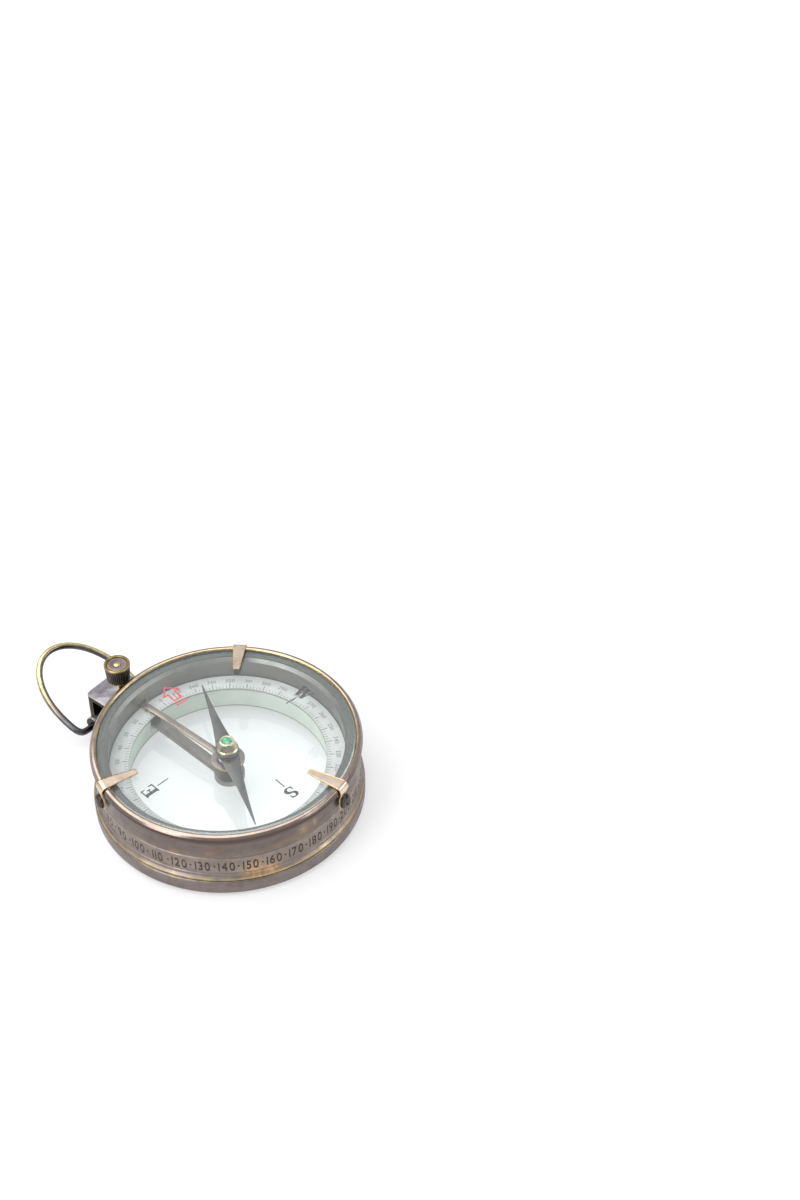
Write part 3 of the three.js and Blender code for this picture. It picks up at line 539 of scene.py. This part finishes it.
def slotted_screw(name, place, out, radius, thick, spin, look, body, nodes):
    out = out.normalized()
    side = out.orthogonal().normalized()
    up = out.cross(side)
    profile = rounded([(0.0, thick, 0.0, 0.1), (radius * 0.8, thick * 0.92, 0.25, 0.3),
                       (radius, thick * 0.6, 0.2, 0.5), (radius, 0.0), (0.0, 0.0)], closed=False)
    segments = 48
    points, wear = [], []
    for i in range(segments):
        angle = 2 * math.pi * i / segments
        for r, z, w in profile:
            x, y = r * math.cos(angle), r * math.sin(angle)
            in_slot = abs(x * math.cos(spin) + y * math.sin(spin)) < radius * 0.17 and z > thick * 0.5
            sunk = thick * 0.45 if in_slot else 0.0
            points.append(tuple(place + side * x + up * y + out * (z - sunk)))
            wear.append(w)
    faces = merge_axis(grid_faces(segments, len(profile), True, False), profile)
    return add_mesh(name, points, faces, look, body, nodes, wear, 30.0)


# Print: each glyph is (points one unit high, faces, width), from the built-in font or from strokes
FONT_CAPITAL = 0.73
glyph_cache = {}


def glyph(character):
    if character not in glyph_cache:
        curve = bpy.data.curves.new("glyph", "FONT")
        curve.body = character
        curve.resolution_u = 4
        holder = placed_object("glyph", curve)
        bpy.context.view_layer.update()
        mesh = bpy.data.meshes.new_from_object(holder.evaluated_get(bpy.context.evaluated_depsgraph_get()))
        bpy.data.objects.remove(holder)
        left = min(v.co.x for v in mesh.vertices)
        spots = [((v.co.x - left) / FONT_CAPITAL, v.co.y / FONT_CAPITAL) for v in mesh.vertices]
        glyph_cache[character] = (spots, [tuple(p.vertices) for p in mesh.polygons], max(x for x, y in spots))
    return glyph_cache[character]


# Strokes along an ellipse's arc; two widths swell from the first at the ends to the second in the middle
def arc_strokes(centre, radii, start, end, widths):
    steps = 10
    spots = []
    for k in range(steps + 1):
        angle = math.radians(start + (end - start) * k / steps)
        spots.append((centre[0] + radii[0] * math.cos(angle), centre[1] + radii[1] * math.sin(angle)))
    result = []
    for k in range(steps):
        swell = 1 - abs(2 * (k + 0.5) / steps - 1)
        result.append((spots[k], spots[k + 1], widths[0] + (widths[-1] - widths[0]) * swell))
    return result


# Serif letters as strokes from (x, y) to (x, y) with a width, in a letter one unit high
STROKE_GAIN = 1.5
STROKE_OVERLAP = 0.012
SERIF_STROKES = {
    "E": [((0.2, 0.0), (0.2, 1.0), 0.18), ((0.0, 0.97), (0.78, 0.97), 0.07),
          ((0.0, 0.03), (0.84, 0.03), 0.07), ((0.2, 0.51), (0.56, 0.51), 0.07),
          ((0.745, 0.72), (0.745, 1.0), 0.07), ((0.805, 0.0), (0.805, 0.3), 0.07),
          ((0.53, 0.38), (0.53, 0.64), 0.06)],
    "W": [((0.15, 1.0), (0.4, 0.0), 0.17), ((0.4, 0.0), (0.62, 1.0), 0.07), ((0.6, 1.0), (0.86, 0.0), 0.17),
          ((0.86, 0.0), (1.08, 1.0), 0.07), ((0.0, 0.97), (0.32, 0.97), 0.06),
          ((0.45, 0.97), (0.76, 0.97), 0.06), ((0.96, 0.97), (1.22, 0.97), 0.06)],
    "S": [*arc_strokes((0.37, 0.75), (0.25, 0.215), 25, 110, (0.07,)),
          *arc_strokes((0.37, 0.75), (0.25, 0.215), 105, 270, (0.08, 0.17)),
          *arc_strokes((0.37, 0.27), (0.28, 0.235), 95, -70, (0.1, 0.19)),
          *arc_strokes((0.37, 0.27), (0.28, 0.235), -65, -150, (0.07,)),
          ((0.62, 0.68), (0.62, 0.98), 0.06), ((0.1, 0.02), (0.1, 0.34), 0.06)],
}

for letter, strokes in SERIF_STROKES.items():
    spots, faces = [], []
    for start, end, width in strokes:
        a, b = Vector(start), Vector(end)
        run = (b - a).normalized()
        side = Vector((-run.y, run.x)) * width * STROKE_GAIN / 2
        overlap = run * STROKE_OVERLAP
        first = len(spots)
        for spot in (a - overlap - side, b + overlap - side, b + overlap + side, a - overlap + side):
            spots.append(tuple(spot))
        faces.append((first, first + 1, first + 2, first + 3))
    glyph_cache[letter] = (spots, faces, max(x for x, y in spots))


# Puts a text's outline points through a function of (along, up), in millimetres
def text_shape(text, height, place, points, faces, gap=0.18, widen=1.0):
    glyphs = [glyph(c) for c in text]
    width = sum(wide * widen for spots, polygons, wide in glyphs) + gap * (len(glyphs) - 1)
    cursor = -width / 2
    for spots, polygons, wide in glyphs:
        first = len(points)
        for x, y in spots:
            points.append(place((cursor + x * widen) * height, (y - 0.5) * height))
        faces.extend(tuple(first + i for i in polygon) for polygon in polygons)
        cursor += wide * widen + gap


def bar(place, half_width, low, high, points, faces):
    first = len(points)
    for along, up in ((-half_width, low), (half_width, low), (half_width, high), (-half_width, high)):
        points.append(place(along, up))
    faces.append((first, first + 1, first + 2, first + 3))


# A closed outline of even width inside the given corners
def outline_ring(corners, width, place, points, faces):
    count = len(corners)
    spots = [Vector(c) for c in corners]
    first = len(points)
    inner = []
    for i, spot in enumerate(spots):
        before = (spot - spots[i - 1]).normalized()
        after = (spots[(i + 1) % count] - spot).normalized()
        side = Vector((-before.y - after.y, before.x + after.x))
        side = side.normalized() * (width / max(0.35, math.sqrt((1 + before.dot(after)) / 2)))
        inner.append(spot + side)
    for spot in spots + inner:
        points.append(place(spot.x, spot.y))
    for i in range(count):
        j = (i + 1) % count
        faces.append((first + i, first + j, first + count + j, first + count + i))


# Places for print: flat at a radius and bearing, or on the outside of a drum
def on_disc(radius, bearing, z):
    angle = math.radians(bearing)
    out = Vector((math.cos(angle), math.sin(angle)))
    right = Vector((out.y, -out.x))

    def place(along, up):
        spot = out * (radius + up) + right * along
        return (spot.x, spot.y, z)
    return place


def on_drum(radius, bearing, z):
    def place(along, up):
        angle = math.radians(bearing) + along / radius
        return (radius * math.cos(angle), radius * math.sin(angle), z + up)
    return place


# Case: the wall and lettering band, then the rolled bead as its own lathe so that it can be rosier, and a
# thin lining for the duller inside
case_wall = lathe("case_wall", [
    (35.7, CASE_FOOT, 0.1), (FLANGE_R, CASE_FOOT, 0.16, 0.7), (FLANGE_R, 6.5, 0.2, 0.75),
    (37.05, 7.1, 0.5, 0.15), (BAND_R, 7.7, 0.06, 0.2), (36.55, 7.9, 0.05), (BAND_R, BAND_FOOT, 0.06, 0.25),
    (BAND_R, BAND_TOP, 0.06, 0.25), (36.55, 13.9, 0.05), (BAND_R, 14.1, 0.06, 0.25),
    (36.65, 16.9, 3.0), (36.75, 19.2, 0.1), (36.6, 19.5, 0.1), (36.4, 19.75, 0.05), (35.65, 20.4, 0.05),
    (RIM_INNER, GLASS_SEAT, 0.05), (33.5, GLASS_SEAT, 0.15), (CASE_BORE, 19.3, 0.15),
    (CASE_BORE, SKIRT_FOOT, 0.1), (34.0, SKIRT_FOOT, 0.1), (34.0, CASE_LEDGE, 0.05),
    (35.7, CASE_LEDGE, 0.1)], aged, "case", ("case_body",))
lathe("rim_bead", [
    (36.3, 19.7, 0.1), (36.85, 19.68, 0.2), (37.25, 20.0, 0.4, 0.1), (37.48, 20.75, 0.6, 0.0),
    (37.35, 21.55, 0.5, 0.05), (36.85, 22.2, 0.45, 0.1), (36.2, 22.35, 0.25, 0.5), (35.85, 22.27, 0.1, 1.5),
    (35.62, 22.05, 0.08, 1.5), (35.62, 20.4, 0.05)], bead_copper, "case")
inner_wall = lathe("inner_wall", [
    (32.49, 13.5, 0.02), (32.49, 19.3, 0.05), (33.49, GLASS_SEAT, 0.05),
    (RIM_INNER - 0.01, GLASS_SEAT, 0.02), (RIM_INNER - 0.01, 21.9, 0.02),
    (RIM_INNER - 0.05, 21.9, 0.02), (RIM_INNER - 0.05, GLASS_SEAT + 0.04, 0.02),
    (33.46, GLASS_SEAT + 0.04, 0.05), (32.44, 19.32, 0.05), (32.44, 13.5, 0.02)],
    inner_metal, "case")
for wall in (case_wall, inner_wall):
    cut_box(wall, (-1.6, 29.5, 10.5), (1.6, 37.5, 15.2))

lathe("base_ring_turned", [
    (34.6, 0.0, 0.1), (36.4, 0.0, 0.7, 0.1), (36.97, 0.45, 0.8, 0.1), (BASE_R, 1.5, 1.0, 0.1),
    (BASE_R, 5.2, 0.3, 0.12), (37.6, BASE_TOP, 0.2, 0.35), (35.5, BASE_TOP, 0.05), (35.5, 7.4, 0.1),
    (34.2, 7.4, 0.1), (34.2, 4.1, 0.05), (32.7, 4.1, 0.1), (32.7, 3.2, 0.1), (34.6, 3.2, 0.1)],
    base_metal, "case", ("base_ring",))
lathe("bottom_seal", [(32.7, 4.2, 0.08), (34.0, 4.2, 0.08), (34.0, 4.5, 0.08), (32.7, 4.5, 0.08)],
      seal_green, "case", ("bottom_gasket",))
lathe("bottom_pane", [(0, LOW_GLASS_UNDER), (LOW_GLASS_R, LOW_GLASS_UNDER, 0.2),
                      (LOW_GLASS_R, LOW_GLASS_TOP, 0.2), (0, LOW_GLASS_TOP)],
      low_glass_look, "case", ("bottom_glass",), closed=False)
lathe("top_seal", [(33.5, 20.3, 0.08), (GLASS_R, 20.3, 0.08), (GLASS_R, 20.6, 0.08), (33.5, 20.6, 0.08)],
      seal_green, "case", ("glass_gasket",))
lathe("top_pane", [(0, GLASS_UNDER), (GLASS_R, GLASS_UNDER, 0.1), (GLASS_R, 22.1, 0.08),
                   (35.1, GLASS_TOP, 0.12), (0, GLASS_TOP)],
      top_glass_look, "case", ("top_glass",), closed=False)

# Dial ring on its spacer, with a darker line at each one's inner edge
lathe("dial_plate", [(DIAL_IN, 12.85, 0.08), (DIAL_OUT, 12.85, 0.08), (DIAL_OUT, DIAL_TOP, 0.08),
                     (DIAL_IN, DIAL_TOP, 0.12)], silver, "case", ("dial_ring",))
spacer = lathe("dial_wall", [(27.4, 6.1, 0.1), (DIAL_OUT, 6.1, 0.1), (DIAL_OUT, 12.75, 0.1),
                             (27.4, 12.75, 0.1)], pale_green, "case", ("dial_spacer",))
cut_box(spacer, (-2.05, 20.0, 9.85), (2.05, 33.0, 14.0))
lathe("spacer_foot_line", [(27.3, 6.12, 0.03), (27.42, 6.12, 0.03), (27.42, 6.42, 0.03),
                           (27.3, 6.42, 0.03)], edge_line, "case")
lathe("dial_edge_line", [(DIAL_IN - 0.04, 12.9, 0.02), (DIAL_IN + 0.14, 12.9, 0.02),
                         (DIAL_IN + 0.14, DIAL_TOP + 0.03, 0.02), (DIAL_IN - 0.04, DIAL_TOP + 0.03, 0.02)],
      edge_line, "case")

# Print under the top glass: letters with their ticks, and the outlined arrow
glass_print_z = GLASS_UNDER - INK_LIFT
points, faces = [], []
for letter, offset in (("E", 92.5), ("S", 180), ("W", 268.5)):
    text_shape(letter, 3.9, on_disc(27.3, NORTH + offset, glass_print_z), points, faces)
    bar(on_disc(0.0, NORTH + offset, glass_print_z), 0.18, 20.9, 24.6, points, faces)
add_mesh("glass_letters", points, faces, ink, "case")

ARROW_HEAD = [(-1.5, 21.4), (1.5, 21.4), (1.5, 24.5), (3.1, 24.5), (0.0, 28.2), (-3.1, 24.5), (-1.5, 24.5)]
ARROW_FOOT = [(-1.7, 19.5), (1.7, 19.5), (1.7, 20.5), (-1.7, 20.5)]
points, faces = [], []
arrow_place = on_disc(0.0, NORTH, glass_print_z)
outline_ring(ARROW_HEAD, 0.5, arrow_place, points, faces)
outline_ring(ARROW_FOOT, 0.36, arrow_place, points, faces)
bar(arrow_place, 0.14, 21.7, 24.2, points, faces)
add_mesh("glass_arrow", points, faces, red_ink, "case")

# Degree marks and numbers on the dial ring, anticlockwise from north
points, faces = [], []
dial_print_z = DIAL_TOP + INK_LIFT
for step in range(0, 360, 2):
    half_width, length = (0.11, 1.7) if step % 10 == 0 else (0.075, 0.9)
    bar(on_disc(DIAL_IN + 0.25, NORTH + step, dial_print_z), half_width, 0.0, length, points, faces)
for step in range(0, 360, 10):
    text_shape(str(step), 1.25, on_disc(30.2, NORTH + step, dial_print_z), points, faces)
add_mesh("dial_marks", points, faces, dial_ink, "case")


# Numbers and dots on the band, left out behind the hanger; shift moves them aside in degrees and down, which
# makes the lighter copy a painted highlight beside the dark numbers
def number_band(name, lift, shift, look):
    middle = (BAND_FOOT + BAND_TOP) / 2
    points, faces = [], []
    for step in range(0, 360, 5):
        bearing = NORTH + step
        if abs((bearing - HANGER_BEARING + 180) % 360 - 180) < 14:
            continue
        place = on_drum(BAND_R + lift, bearing + shift, middle - 3 * shift)
        if step % 10:
            bar(place, 0.22, -0.22, 0.22, points, faces)
        else:
            text_shape(str(step), 3.3, place, points, faces, 0.17, 0.72)
    add_mesh(name, points, faces, look, "case")


# The lighter copper copy, shifted aside and down beneath the dark numbers, is a painted highlight on the
# engraved edges
number_band("band_number_painted_highlights", 0.008, 0.09, bead_copper)
number_band("band_numbers", 0.016, 0.0, engraving)

# Prongs and their screws
PRONG_BEARINGS = (36, 158, 278)
PRONG_LINE = [
    (26.8, 22.60, 1.6), (27.3, 22.64, 2.0), (31.5, 22.66, 2.9), (35.6, 22.66, 3.6), (36.6, 22.62, 3.75),
    (37.25, 22.38, 3.8), (37.72, 21.75, 3.8), (37.92, 20.75, 3.8), (37.62, 19.6, 3.8), (37.38, 18.6, 3.75),
    (37.33, 15.3, 3.5),
]
for i, bearing in enumerate(PRONG_BEARINGS):
    strip(f"prong_strip_{i + 1}", PRONG_LINE, 0.42, 0.12, 0.1, bearing - 90, copper, "case",
          (f"prong_{i + 1}",))
SCREW_FROM_AXIS, SCREW_HEIGHT, SCREW_HEAD_R, SCREW_HEAD_THICK = 37.7, 16.9, 2.05, 1.2
for i, bearing in enumerate(PRONG_BEARINGS):
    angle = math.radians(bearing)
    place = (SCREW_FROM_AXIS * math.cos(angle), SCREW_FROM_AXIS * math.sin(angle), SCREW_HEIGHT)
    slotted_screw(f"prong_screw_head_{i + 1}", Vector(place), Vector((math.cos(angle), math.sin(angle), 0)),
                  SCREW_HEAD_R, SCREW_HEAD_THICK, 0.4 + i, black, "case",
                  (f"prong_screw_{i + 1}",))

# Bridge, lever, pivot and screws
softened("pivot_bridge", bar_metal, "case", 0.12)
softened("lift_lever", lever_metal, "lift_lever", 0.14)
lathe("pivot_pin_turned", [(0, 6.1), (1.0, 6.1, 0.1), (1.0, 8.95, 0.1), (0.75, 9.0, 0.05),
                           (0.75, 13.1, 0.3), (0.12, 18.2, 0.05), (0, 18.35)],
      blued, "case", ("pivot_pin",), closed=False, segments=48)
lathe("pivot_nut_turned", [(1.1, 6.1, 0.05), (2.6, 6.1, 0.15), (2.6, 6.95, 0.2, 0.3), (1.1, 6.95, 0.1)],
      black, "case", ("pivot_nut",), segments=64)
softened("fulcrum_pin", inner_metal, "case", 0.06, 2)
for node in ("bridge_screw_1", "bridge_screw_2", "bracket_screw_1", "bracket_screw_2"):
    softened(node, bright, "case", 0.06, 2)
softened("thrust_pad", bright, "clamp_carriage", 0.06, 2)


# Needle: bevelled lance, collar, cone cap and jewel
def quadratic(a, b, c, steps):
    return [tuple((1 - t) ** 2 * a[i] + 2 * t * (1 - t) * b[i] + t * t * c[i] for i in (0, 1))
            for t in (k / steps for k in range(steps))]


def needle_outline(half_length, half_wide, tip):
    flank = (half_wide * 0.34, half_length * 0.33)
    quarter = quadratic((tip, half_length), flank, (half_wide, 0.0), 24)
    back = [(half_wide, 0.0)] + quarter[::-1][:-1]
    return [*quarter, *((x, -y) for x, y in back), (tip, -half_length),
            *((-x, -y) for x, y in quarter), *((-x, y) for x, y in back), (-tip, half_length)]


outline = needle_outline(27.7, 3.2, 0.17)
count = len(outline)
heading = math.radians(NEEDLE_HEADING)
points, wear = [], []
# Layers of (height, share of the width, wear)
NEEDLE_LAYERS = [(15.45, 0.93, 0.0), (15.52, 1.0, 0.3), (15.73, 1.0, 0.6), (15.80, 0.9, 0.2)]
for z, scale, w in NEEDLE_LAYERS:
    for x, y in outline:
        x, y = x * scale, y * (1 - (1 - scale) * 0.05)
        points.append((x * math.sin(heading) + y * math.cos(heading),
                       -x * math.cos(heading) + y * math.sin(heading), z))
        wear.append(w)
faces = grid_faces(len(NEEDLE_LAYERS), count, False, True)
for base in (0, (len(NEEDLE_LAYERS) - 1) * count):
    for k in range(count // 2 - 1):
        mirror = count - 1 - k
        faces.append((base + k, base + k + 1, base + mirror - 1, base + mirror))
add_mesh("needle_lance", points, faces, blued, "needle", ("needle_blade",), wear, 30.0)
lathe("needle_collar", [(1.4, 15.85, 0.05), (3.2, 15.85, 0.1), (3.2, 16.7, 0.35, 0.3), (2.9, 17.1, 0.2, 0.3),
                        (1.4, 17.1, 0.05)], blued, "needle", ("needle_hub",), segments=96)
lathe("needle_cone", [(1.4, 17.2, 0.05), (3.0, 17.2, 0.1, 0.3), (3.02, 17.55, 0.12, 0.6), (2.75, 17.8, 0.1),
                      (2.05, 19.55, 0.15, 0.2), (2.05, 20.0, 0.12, 0.8), (1.8, 20.12, 0.08, 0.8),
                      (1.5, 20.1, 0.05), (1.5, 19.6, 0.05), (0, 19.6)],
      cap_metal, "needle", ("needle_cap",), closed=False, segments=96)
lathe("green_bead", [(0, 19.7), (1.4, 19.7, 0.1), (1.4, 20.1, 0.1), (1.0, 20.36, 0.3), (0, 20.45)],
      jewel_look, "needle", ("cap_jewel",), closed=False, segments=64)

# Clamp: knurled knob that widens upwards, its recessed face, and the stem
KNURL = (KNOB_FOOT + 0.3, KNOB_TOP - 0.9, 2.9, 0.16, 36)
knob_centre = (0.0, STEM_Y)
knob_side = [(3.3 + 0.32 * k / 6, KNOB_FOOT + 0.35 + 3.9 * k / 6, 0.0, 0.12) for k in range(7)]
lathe("knob_body", [(1.1, KNOB_FOOT, 0.05), (3.1, KNOB_FOOT, 0.15), (3.3, KNOB_FOOT + 0.25, 0.1, 0.3),
                    *knob_side, (3.6, KNOB_TOP - 0.8, 0.05), (3.75, KNOB_TOP - 0.65, 0.1, 0.8),
                    (3.75, KNOB_TOP - 0.2, 0.15, 1.0), (3.55, KNOB_TOP, 0.15, 1.0),
                    (3.0, KNOB_TOP, 0.12, 1.0), (2.8, KNOB_DISH, 0.1, 0.1), (1.1, KNOB_DISH, 0.05)],
      bronze, "clamp_screw", ("clamp_knob",), centre=knob_centre, segments=360, knurl=KNURL)
lathe("knob_dish", [(1.15, KNOB_DISH + 0.01), (2.75, KNOB_DISH + 0.01, 0.05),
                    (2.75, KNOB_DISH + 0.05, 0.05), (1.15, KNOB_DISH + 0.05)],
      knob_face, "clamp_screw", centre=knob_centre, segments=96)
lathe("stem_turned", [(0, 13.1), (1.0, 13.1, 0.1), (1.0, 16.5), (1.0, 20.4),
                      (1.0, KNOB_TOP - 0.25, 0.2, 0.6), (0.55, KNOB_TOP - 0.05, 0.2, 0.8), (0, KNOB_TOP)],
      bright, "clamp_screw", ("clamp_stem",), centre=knob_centre, closed=False, segments=64)

# Hanger bracket and return spring, which the clamp squeezes
softened("hanger_bracket", bracket_metal, "case", 0.3, 4)
SPRING_STEPS, SPRING_TURNS, SPRING_R, SPRING_START, SPRING_RISE = 220, 2.75, 1.7, 7.764, 3.07
spring_line = []
for i in range(SPRING_STEPS + 1):
    t = i / SPRING_STEPS
    angle = 2 * math.pi * SPRING_TURNS * t
    spring_line.append(Vector((SPRING_R * math.cos(angle), STEM_Y + SPRING_R * math.sin(angle),
                               SPRING_START + SPRING_RISE * t)))
spring = tube("spring_coil", spring_line, 0.25, bright, "case", ("return_spring",), 12)
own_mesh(spring)

# Bail: straight pin ends, tight corners, short legs and a wide crown, drawn flat and tilted to its rest
pin_end, bail_half, shoulder, crown, corner = 6.0, 12.8, 7.0, 19.4, 2.6
bail_side = [(pin_end, 0), (pin_end + 1.19, 0), (bail_half - corner, 0.05),
             (bail_half - corner * 0.36, corner * 0.27), (bail_half - corner * 0.06, corner * 1.1)]
for k in range(7):
    angle = math.pi / 2 * k / 7
    bail_side.append((bail_half * math.cos(angle), shoulder + crown * math.sin(angle)))
loop = [*((x, y, 0) for x, y in bail_side), (0, shoulder + crown, 0),
        *((-x, y, 0) for x, y in reversed(bail_side))]
bail_tilt = Matrix.Rotation(math.radians(22), 3, "X")
hinge = Vector((0, HINGE_Y, HINGE_Z))
bail_line = [bail_tilt @ p + hinge for p in catmull(loop, 10)]
bail_middle = bail_tilt @ Vector((0, 14, 0)) + hinge
bail_up = bail_tilt @ Vector((0, 0, 1))


# The bail's crown and one arm are rubbed bright on the outside and top; the rest keeps the dark finish
def bail_wear(centre):
    reach = (centre - hinge).length
    far_arm = min(1.0, max(0.0, (centre.x - 1.0) / 6.0)) * min(1.0, max(0.0, (reach - 9.0) / 5.0))
    share = min(1.0, max(0.05, (reach - 13.0) / 9.0, far_arm))
    return ((centre - bail_middle).normalized() * 0.65 + bail_up * 0.8).normalized() * share


tube("bail_wire", bail_line, 1.0, wire_metal, "bail", ("bail",), 24, bail_wear)

# Floor, lamps and world, in metres
FLOOR_REACH = 3.0
floor_mesh = bpy.data.meshes.new("floor")
floor_corners = [(x * FLOOR_REACH, y * FLOOR_REACH, 0) for x, y in ((-1, -1), (1, -1), (1, 1), (-1, 1))]
floor_mesh.from_pydata(floor_corners, [], [(0, 1, 2, 3)])
floor = placed_object("floor", floor_mesh)
floor_mesh.materials.append(floor_paint("pale_floor"))

# Each panel lamp is (name, place, size, power), and points at the origin
LAMPS = (
    ("key_panel", (-0.2, 0.45, 1.25), (1.7, 1.7), 17.0),
    ("left_panel", (-0.9, 0.1, 0.6), (0.5, 0.8), 4.0),
    ("near_strip", (0.5, -0.8, 0.5), (0.8, 0.2), 2.0),
)
for name, place, size, power in LAMPS:
    lamp_data = bpy.data.lights.new(name, "AREA")
    lamp_data.shape = "RECTANGLE"
    lamp_data.size, lamp_data.size_y = size
    lamp_data.energy = power
    lamp = placed_object(name, lamp_data)
    lamp.location = place
    lamp.rotation_euler = (-Vector(place)).to_track_quat("-Z", "Y").to_euler()

# The world lights the scene softly, and the camera sees it as white
WORLD_LIGHT, WORLD_SEEN = 0.62, 1.03
world = bpy.data.worlds.new("studio")
world.use_nodes = True
bpy.context.scene.world = world
background = world.node_tree.nodes["Background"]
background.inputs["Color"].default_value = (0.95, 0.97, 1.0, 1.0)
camera_ray = shade(world.node_tree, "LightPath").outputs["Is Camera Ray"]
strength = remap(world.node_tree, camera_ray, 0.0, 1.0, WORLD_LIGHT, WORLD_SEEN)
world.node_tree.links.new(strength, background.inputs["Strength"])
